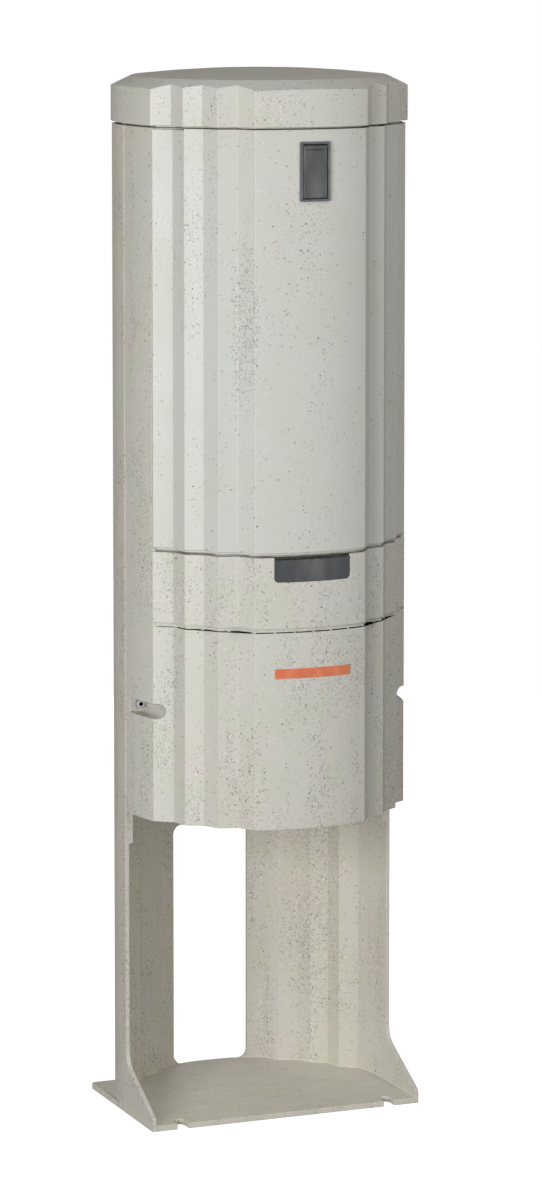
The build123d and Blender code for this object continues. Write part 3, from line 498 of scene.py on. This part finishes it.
@dataclass(frozen=True)
class Metal(Finish):
    """Plated, galvanised or bare metal: crystals or tarnish shift its tone, and drawing marks its gloss.

    The marks are drawn wider apart than the real ones, so that they show.
    """

    dark: str
    light: str
    roughness: tuple[float, float]
    crystal_mm: float = 6.0
    draw_mm: tuple[float, float, float] = (0.5, 0.5, 8.0)
    draw_depth_mm: float = 0.01
    draw_strength: float = 0.25

    def paint(self, tree: bpy.types.NodeTree, shader: bpy.types.Node) -> None:
        """Vary the tone by crystal and the gloss along the drawing direction.

        Args:
            tree: Node tree of the material.
            shader: Its surface shader.
        """
        place = add_node(tree, COORDINATES).outputs["Object"]
        sockets = {"Vector": place, "Scale": per_metre(self.crystal_mm)}
        crystal = add_node(tree, VORONOI, sockets, feature="SMOOTH_F1")
        tone = add_node(tree, SPLIT_COLOUR, {"Color": crystal.outputs["Color"]}).outputs[0]
        sockets = {MIX_SHARE: tone, MIX_FIRST: linear(self.dark), MIX_SECOND: linear(self.light)}
        tint = add_node(tree, MIX, sockets, data_type="RGBA")
        tree.links.new(tint.outputs[MIX_RESULT], shader.inputs["Base Color"])
        shader.inputs["Metallic"].default_value = 1.0
        along = add_node(tree, MAPPING, {"Vector": place, "Scale": stretch(self.draw_mm)})
        marks = add_node(tree, NOISE, {"Vector": along.outputs[0], "Scale": 1.0, "Detail": STREAK_DETAIL})
        low, high = self.roughness
        rough = add_node(tree, RANGE, {"Value": marks.outputs[0], "To Min": low, "To Max": high})
        tree.links.new(rough.outputs[0], shader.inputs["Roughness"])
        sockets = {
            "Height": marks.outputs[0],
            "Strength": self.draw_strength,
            "Distance": self.draw_depth_mm * MM,
        }
        tree.links.new(add_node(tree, BUMP, sockets).outputs[0], shader.inputs["Normal"])


# Pressed polyester, off-white with a soft sheen: a warm batch with many dark, rusty and pale flecks
REAR_SHELL = GlassPolyester(
    "rear_glass_polyester",
    cool_share=(0.2, 0.6),
    crowding=1.5,
    knots=(Knot((140.0, 120.0, 270.0), (45.0, 60.0, 140.0), 1.0),),
)
# A cooler batch of the same compound, well flecked
COVER_SHELL = GlassPolyester("cover_glass_polyester", cool_share=(0.36, 0.7), crowding=1.3)
# The coolest and cleanest batch, with flecks in three knots and painted shade on its set-back lip
DOOR_SHELL = GlassPolyester(
    "door_glass_polyester",
    cool_share=(0.6, 0.88),
    crowding=0.25,
    streak_film=LIP_SHADE,
    knots=(
        Knot((-93.0, -188.0, 1115.0), (20.0, 45.0, 140.0), 4.2),
        Knot((-20.0, -195.0, 1240.0), (60.0, 40.0, 90.0), 0.45),
        Knot((-160.0, -140.0, 1250.0), (50.0, 60.0, 180.0), 0.4),
    ),
)
# A cool batch with fewer flecks than the cover
CAP_SHELL = GlassPolyester("cap_glass_polyester", cool_share=(0.45, 0.8), crowding=0.7)
# Glass-filled nylon, dark grey and satin, with upright clouds in its gloss
NYLON = PlainSkin("satin_dark_nylon", "#434548", "#53565A", (0.26, 0.42), (18.0, 18.0, 55.0))
# The same nylon on the lock: a flap a shade darker, and a duller rim painted paler, which is painted light
# on its lit edges
FLAP_NYLON = PlainSkin("satin_flap_nylon", "#3D3F42", "#4B4E51", (0.28, 0.44), (18.0, 18.0, 55.0))
LIT_RIM_NYLON = PlainSkin("painted_light_rim_nylon", "#5A5C5F", "#66686B", (0.4, 0.55), (18.0, 18.0, 18.0))
# Cast vinyl film, orange and even, with a dull sheen
VINYL = PlainSkin("orange_vinyl_film", "#D9724B", "#E38760", (0.42, 0.55), (14.0, 14.0, 14.0), 0.6)
# Satin nickel over brass, warm grey and fairly bright
NICKEL = Metal("satin_nickel_brass", "#B3A88F", "#C6BCA3", (0.22, 0.36))
# Zinc-flake coat on the pocket screws, pale silver grey and dull
ZINC_FLAKE = PlainSkin("zinc_flake_coat", "#B9BBBB", "#CDCFCF", (0.3, 0.45), (4.0, 4.0, 4.0), 0.4)
# Painted shade on the sides of the pocket screws' heads and in their sockets, nearly black and satin
SOCKET_SHADE = PlainSkin("painted_socket_shade", "#26272A", "#34363A", (0.3, 0.45), (3.0, 3.0, 3.0), 0.4)
# Bright zinc plating on steel, cool grey
ZINC = Metal("zinc_plated_steel", "#9A9C9E", "#B9BBBC", (0.24, 0.4))
# Hot-dip galvanised sheet, dull grey with visible spangle
GALVANISED = Metal("galvanised_steel_sheet", "#8E9193", "#B0B3B4", (0.34, 0.52), 14.0, (6.0, 6.0, 6.0))
# Electrolytic copper bar, drawn along its length and lightly browned
COPPER = Metal("drawn_copper", "#B9714E", "#D08A64", (0.24, 0.42), 20.0, (20.0, 0.5, 0.5))
# Silver-plated copper of contacts and knives, pale and bright
SILVER = Metal("silver_plated_copper", "#BDBAB2", "#D6D4CD", (0.18, 0.32), 9.0)
# Grey glass-mat laminate board, matt with pressed clouds
LAMINATE = PlainSkin("grey_laminate_board", "#A3A39A", "#B4B4AB", (0.5, 0.65), (30.0, 30.0, 30.0), 1.6)
# Dark thermoset moulding of the fuse base, nearly black and dull
THERMOSET = PlainSkin("dark_thermoset", "#2E2F31", "#3B3C3F", (0.4, 0.55))
# Glazed steatite body of the fuse links, cream white and glossy
STEATITE = PlainSkin("glazed_steatite", "#E2DED2", "#EDEAE1", (0.14, 0.26), (25.0, 25.0, 25.0), 1.2, 0.01)
# Cast epoxy of the insulating posts, red-brown with a wet gloss
EPOXY = PlainSkin("red_brown_epoxy", "#6E2A20", "#84382B", (0.2, 0.34), (15.0, 15.0, 15.0))


def new_piece(
    name: str, shape: bmesh.types.BMesh, finishes: list[Finish], nodes: list[str]
) -> None:
    """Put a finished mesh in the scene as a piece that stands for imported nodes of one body.

    Args:
        name: Name of the piece.
        shape: Its mesh, in metres and in place, which is freed.
        finishes: Finishes in the order of the faces' material numbers.
        nodes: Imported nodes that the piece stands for.
    """
    mesh = bpy.data.meshes.new(name)
    shape.to_mesh(mesh)
    shape.free()
    mesh.shade_smooth()
    mesh.set_sharp_from_angle(angle=math.radians(CRISP_DEG))
    for finish in finishes:
        mesh.materials.append(finish.material())
    piece = bpy.data.objects.new(name, mesh)
    bpy.context.scene.collection.objects.link(piece)
    weighted = piece.modifiers.new("even_shading", "WEIGHTED_NORMAL")
    weighted.keep_sharp = True
    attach(piece, frame["nodes"][nodes[0]]["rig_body"])
    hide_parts(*nodes)
    LOG.info("%s: %d faces, %s", name, len(mesh.polygons), ", ".join(finish.name for finish in finishes))


def keep_node(node: str, finish: Finish) -> None:
    """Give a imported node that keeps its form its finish.

    Args:
        node: Name of the node.
        finish: Its finish.
    """
    mesh = frame["nodes"][node].data
    mesh.materials.clear()
    mesh.materials.append(finish.material())
    LOG.info("%s: kept, %s", node, finish.name)


def softened(node: str, corner: Corner) -> bmesh.types.BMesh:
    """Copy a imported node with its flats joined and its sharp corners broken, all within the node's box.

    Args:
        node: Name of the node.
        corner: How far the corners are broken.

    Returns:
        The copy's mesh.
    """
    shape = bmesh.new()
    shape.from_mesh(frame["nodes"][node].data)
    bmesh.ops.remove_doubles(shape, verts=shape.verts, dist=MERGE_DISTANCE)
    bmesh.ops.dissolve_limit(
        shape, angle_limit=math.radians(FLAT_DEG), verts=shape.verts, edges=shape.edges, delimit=set()
    )
    limit = math.radians(SHARP_DEG)
    sharp = [edge for edge in shape.edges if edge.is_manifold and edge.calc_face_angle() > limit]
    bmesh.ops.bevel(
        shape,
        geom=sharp,
        offset=corner.value * MM,
        offset_type="OFFSET",
        segments=BREAK_STEPS,
        profile=0.5,
        affect="EDGES",
        clamp_overlap=False,
        material=-1,
    )
    low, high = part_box(node)
    for vert in shape.verts:
        vert.co = Vector(min(max(at, least), most) for at, least, most in zip(vert.co, low, high))
    return shape


@dataclass
class Shells:
    """Rear housing, front shroud, door and roof cap of speckled compound, and the cap's screws."""

    corner: Corner = Corner.MOULDED

    def build(self) -> None:
        """Make each shell with moulded corners, and dress the screws."""
        for node, finish in (
            ("rear_housing", REAR_SHELL),
            ("front_shroud", COVER_SHELL),
            ("door", DOOR_SHELL),
            ("roof_cap", CAP_SHELL),
        ):
            new_piece(f"{node}_moulding", softened(node, self.corner), [finish], [node])
        keep_node("cap_screws", ZINC)


@dataclass
class ShroudFittings:
    """Outlet plate, ground mark and the two screws in the side pockets."""

    head_radius_mm: float = 6.5
    head_side_mm: float = 3.4
    head_height_mm: float = 5.0
    shoulder_share: float = 0.93
    crown_share: float = 0.8
    shank_radius_mm: float = 4.0
    socket_radius_mm: float = 3.1
    socket_depth_mm: float = 2.6
    socket_sides: int = 6
    head_segments: int = 36

    def build(self) -> None:
        """Make the plate and the screws, and dress the mark."""
        plate = softened("cable_outlet_plate", Corner.TRIMMED)
        new_piece("outlet_plate_moulding", plate, [NYLON], ["cable_outlet_plate"])
        keep_node("ground_mark", VINYL)
        # Zinc flake on the screws' crowns, painted shade on the heads' sides and in the sockets
        crown_and_shade = [ZINC_FLAKE, SOCKET_SHADE]
        new_piece("socket_screws", self.screws(), crown_and_shade, ["shroud_screws"])

    def screws(self) -> bmesh.types.BMesh:
        """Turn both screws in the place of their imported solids.

        Returns:
            The mesh of the two screws.
        """
        low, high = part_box("shroud_screws")
        shape = bmesh.new()
        radius = self.head_radius_mm * MM
        seat = low.y + self.head_height_mm * MM
        for x in (low.x + radius, high.x - radius):
            self.add_screw(shape, Vector((x, seat, (low.z + high.z) / 2)), high.y - seat)
        bmesh.ops.recalc_face_normals(shape, faces=shape.faces)
        if shape.calc_volume(signed=True) < 0:
            bmesh.ops.reverse_faces(shape, faces=shape.faces)
        return shape

    def add_screw(self, shape: bmesh.types.BMesh, seat: Vector, length: float) -> None:
        """Add one screw that runs back from its seat, with a crowned head and a hexagon socket.

        Args:
            shape: Mesh that takes the screw.
            seat: Middle of the head's underside.
            length: Length of the shank, in metres.
        """
        place = Matrix.Translation(seat) @ Matrix.Rotation(math.radians(90), 4, "X")
        radius, height = self.head_radius_mm, self.head_height_mm
        levels = (
            (radius, 0.0),
            (radius, self.head_side_mm),
            (radius * (1 + self.crown_share) / 2, height * self.shoulder_share),
            (radius * self.crown_share, height),
        )
        rings = [self.ring(shape, place, wide, level) for wide, level in levels]
        seat_edge, side_edge, *crown = rings
        mouth = self.ring(shape, place, self.socket_radius_mm, height, True)
        floor = self.ring(shape, place, self.socket_radius_mm, height - self.socket_depth_mm, True)
        under = self.ring(shape, place, self.shank_radius_mm, 0.0)
        tip = self.ring(shape, place, self.shank_radius_mm, -length / MM)
        # The crown is bright zinc flake; the head's side and the socket take painted shade
        bright = [tip, under, seat_edge], [side_edge, *crown, mouth]
        dark = [seat_edge, side_edge], [mouth, floor]
        for chains, number in ((bright, 0), (dark, 1)):
            for chain in chains:
                for first, second in zip(chain, chain[1:]):
                    made = bmesh.ops.bridge_loops(shape, edges=first + second)
                    for face in made["faces"]:
                        face.material_index = number
        for edges, number in ((tip, 0), (floor, 1)):
            made = bmesh.ops.contextual_create(shape, geom=edges)
            made["faces"][0].material_index = number

    def ring(
        self,
        shape: bmesh.types.BMesh,
        place: Matrix,
        radius_mm: float,
        level_mm: float,
        hexagon: bool = False,
    ) -> list[bmesh.types.BMEdge]:
        """Add one loop of edges round the screw's axis.

        Args:
            shape: Mesh that takes the loop.
            place: Matrix from the screw's axis to its place.
            radius_mm: Radius to the loop's corners.
            level_mm: Height above the seat.
            hexagon: Whether the loop is drawn in to the socket's flats.

        Returns:
            The loop's edges.
        """
        made = bmesh.ops.create_circle(
            shape, segments=self.head_segments, radius=radius_mm * MM, cap_ends=False
        )
        side = math.tau / self.socket_sides
        for vert in made["verts"]:
            if hexagon:
                angle = math.atan2(vert.co.y, vert.co.x) % side - side / 2
                vert.co *= math.cos(side / 2) / math.cos(angle)
            vert.co.z = level_mm * MM
        bmesh.ops.transform(shape, matrix=place, verts=made["verts"])
        edges = {edge for vert in made["verts"] for edge in vert.link_edges}
        return list(edges)


@dataclass
class LockSet:
    """Lock let into the door: rim, dust flap, barrel, plug and cam."""

    nickel: tuple[str, ...] = ("lock_barrel", "lock_plug")
    steel: tuple[str, ...] = ("flap_pin", "lock_cam", "cam_screw")

    def build(self) -> None:
        """Make the dark mouldings and dress the metal pieces."""
        # The rim's paler nylon is painted light on its lit edges
        for node, finish in (("lock_housing", LIT_RIM_NYLON), ("lock_flap", FLAP_NYLON)):
            new_piece(f"{node}_moulding", softened(node, Corner.TRIMMED), [finish], [node])
        for node in self.nickel:
            new_piece(f"{node}_turned", softened(node, Corner.FINE), [NICKEL], [node])
        for node in self.steel:
            keep_node(node, ZINC)


@dataclass
class FuseGear:
    """Equipment board with the three-pole fuse base, its contacts and its blade fuse links."""

    ceramic_half_mm: float = 33.0
    screws: tuple[str, ...] = ("board_screws", "fuse_base_screws")

    def build(self) -> None:
        """Make the board, the base, the contacts and the links, and dress the screws."""
        for node, finish, slot in (
            ("equipment_board", LAMINATE, Slot.BOARD),
            ("fuse_base", THERMOSET, Slot.FUSE),
            ("fuse_contacts", SILVER, Slot.COPPER),
        ):
            new_piece(f"{node}_piece", softened(node, Corner.TRIMMED), [finish], [node])
        new_piece("fuse_links_piece", self.links(), [STEATITE, SILVER], ["fuse_links"])
        for node in self.screws:
            keep_node(node, ZINC)

    def links(self) -> bmesh.types.BMesh:
        """Soften the links and mark the knives that stand out of their ceramic bodies.

        Returns:
            The links' mesh, with the knives' faces on the second material.
        """
        low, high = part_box("fuse_links")
        middle = (low.z + high.z) / 2
        shape = softened("fuse_links", Corner.TRIMMED)
        for face in shape.faces:
            away = abs(face.calc_center_median().z - middle)
            face.material_index = int(away > self.ceramic_half_mm * MM)
        return shape


@dataclass
class EarthBar:
    """Neutral and earth bar on its posts, with its screws."""

    corner: Corner = Corner.TRIMMED

    def build(self) -> None:
        """Make the bar and the posts, and dress the screws."""
        bar = softened("earth_bar", self.corner)
        new_piece("earth_bar_drawn", bar, [COPPER], ["earth_bar"])
        posts = softened("bar_posts", self.corner)
        new_piece("bar_posts_cast", posts, [EPOXY], ["bar_posts"])
        keep_node("bar_screws", ZINC)


@dataclass
class CableEntry:
    """Rail across the housing with the clamps that hold the cables."""

    sheet: tuple[str, ...] = ("cable_rail", "cable_clamps")
    fasteners: tuple[str, ...] = ("rail_bolts", "clamp_bolts", "clamp_nuts")

    def build(self) -> None:
        """Make the sheet pieces and dress the fasteners."""
        for node in self.sheet:
            shape = softened(node, Corner.TRIMMED)
            new_piece(f"{node}_sheet", shape, [GALVANISED], [node])
        for node in self.fasteners:
            keep_node(node, ZINC)


@dataclass(frozen=True)
class Lamp:
    """One soft square light, placed round its aim by two angles and a distance."""

    name: str
    azimuth_deg: float
    elevation_deg: float
    distance_m: float
    side_m: float
    watts: float
    mirrored: bool = True
    aim_m: tuple[float, float, float] = (0.0, 0.0, 0.8)

    def hang(self) -> None:
        """Hang the light, looking at its aim."""
        lamp = bpy.data.lights.new(self.name, "AREA")
        lamp.shape = "SQUARE"
        lamp.size = self.side_m
        lamp.energy = self.watts
        turn = Matrix.Rotation(math.radians(self.azimuth_deg), 3, "Z")
        climb = Matrix.Rotation(math.radians(-self.elevation_deg), 3, "X")
        away = turn @ climb @ Vector((0.0, -1.0, 0.0))
        holder = bpy.data.objects.new(self.name, lamp)
        holder.location = Vector(self.aim_m) + away * self.distance_m
        holder.rotation_euler = (-away).to_track_quat("-Z", "Y").to_euler()
        holder.visible_glossy = self.mirrored
        bpy.context.scene.collection.objects.link(holder)


@dataclass
class Studio:
    """Pale floor, soft lights and the camera of the photograph."""

    image_px: tuple[float, float] = (542.0, 1181.0)
    centre_px: tuple[float, float] = (264.98, 354.3)
    focal_px: float = 4475.8
    place_m: tuple[float, float, float] = (-2.338947, -5.76446, 1.712197)
    turn_deg: float = -22.159
    dip_deg: float = 5.942
    sensor_mm: float = 36.0
    floor_radius_m: float = 3.2
    floor_segments: int = 96
    floor_colour: tuple[float, float, float, float] = (0.6, 0.6, 0.6, 1.0)
    floor_glow: float = 0.82
    inside_watts: float = 0.6
    inside_size_m: float = 0.1
    inside_m: tuple[float, float, float] = (0.0, 0.02, 0.68)
    ambient: tuple[float, float, float, float] = (0.208, 0.195, 0.187, 1.0)
    lamps: tuple[Lamp, ...] = (
        Lamp("key", -50.0, 4.0, 4.0, 1.6, 104.5),
        Lamp("fill", 22.0, 4.0, 4.0, 1.8, 25.0),
        Lamp("high", 16.0, 48.0, 4.0, 1.6, 25.0),
        Lamp("top", -10.0, 80.0, 3.2, 2.2, 8.0),
        Lamp("back", 158.0, 8.0, 4.0, 2.0, 55.0, mirrored=False),
    )

    def build(self) -> None:
        """Set up the floor, the lights, the world and the camera."""
        self.floor()
        for lamp in self.lamps:
            lamp.hang()
        self.glow()
        self.world()
        self.camera()

    def floor(self) -> None:
        """Lay a plain white floor that glows a little, so that shadows on it stay faint."""
        shape = bmesh.new()
        bmesh.ops.create_circle(
            shape, segments=self.floor_segments, radius=self.floor_radius_m, cap_ends=True
        )
        mesh = bpy.data.meshes.new("floor")
        shape.to_mesh(mesh)
        shape.free()
        material = bpy.data.materials.new("floor_white")
        material.use_nodes = True
        sockets = material.node_tree.nodes["Principled BSDF"].inputs
        sockets["Base Color"].default_value = self.floor_colour
        sockets["Roughness"].default_value = 1.0
        sockets["Emission Color"].default_value = WHITE
        sockets["Emission Strength"].default_value = self.floor_glow
        mesh.materials.append(material)
        floor = bpy.data.objects.new("floor", mesh)
        bpy.context.scene.collection.objects.link(floor)
        floor.visible_diffuse = False
        floor.visible_glossy = False

    def glow(self) -> None:
        """Hang a faint light inside the column, for the stray light that shows in its gaps."""
        lamp = bpy.data.lights.new("inside", "POINT")
        lamp.energy = self.inside_watts
        lamp.shadow_soft_size = self.inside_size_m
        holder = bpy.data.objects.new("inside", lamp)
        holder.location = self.inside_m
        bpy.context.scene.collection.objects.link(holder)

    def world(self) -> None:
        """Surround the scene with a dim even light that shows as white behind the pillar."""
        world = bpy.data.worlds.new("studio")
        world.use_nodes = True
        tree = world.node_tree
        tree.nodes.clear()
        seen = add_node(tree, "ShaderNodeLightPath").outputs["Is Camera Ray"]
        sockets = {MIX_SHARE: seen, MIX_FIRST: self.ambient, MIX_SECOND: WHITE}
        tint = add_node(tree, MIX, sockets, data_type="RGBA")
        backdrop = add_node(tree, "ShaderNodeBackground", {"Color": tint.outputs[MIX_RESULT]})
        add_node(tree, "ShaderNodeOutputWorld", {"Surface": backdrop.outputs[0]})
        bpy.context.scene.world = world
        bpy.context.scene.view_settings.view_transform = "Standard"

    def camera(self) -> None:
        """Set the camera where the photograph was taken, with the photograph's framing."""
        width, height = self.image_px
        lens = bpy.data.cameras.new("photo_camera")
        lens.sensor_width = self.sensor_mm
        lens.lens = self.focal_px / height * self.sensor_mm
        lens.shift_x = (width / 2 - self.centre_px[0]) / height
        lens.shift_y = (self.centre_px[1] - height / 2) / height
        camera = bpy.data.objects.new("photo_camera", lens)
        camera.location = self.place_m
        camera.rotation_euler = (math.radians(90 - self.dip_deg), 0.0, math.radians(self.turn_deg))
        bpy.context.scene.collection.objects.link(camera)
        bpy.context.scene.camera = camera


def main() -> None:
    """Build the pillar's sub-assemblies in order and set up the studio."""
    logging.basicConfig(level=logging.INFO, format="%(message)s")
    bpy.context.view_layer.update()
    for assembly in (Shells(), ShroudFittings(), LockSet(), FuseGear(), EarthBar(), CableEntry(), Studio()):
        LOG.info("%s", type(assembly).__name__)
        assembly.build()


if __name__ == "__main__":
    main()
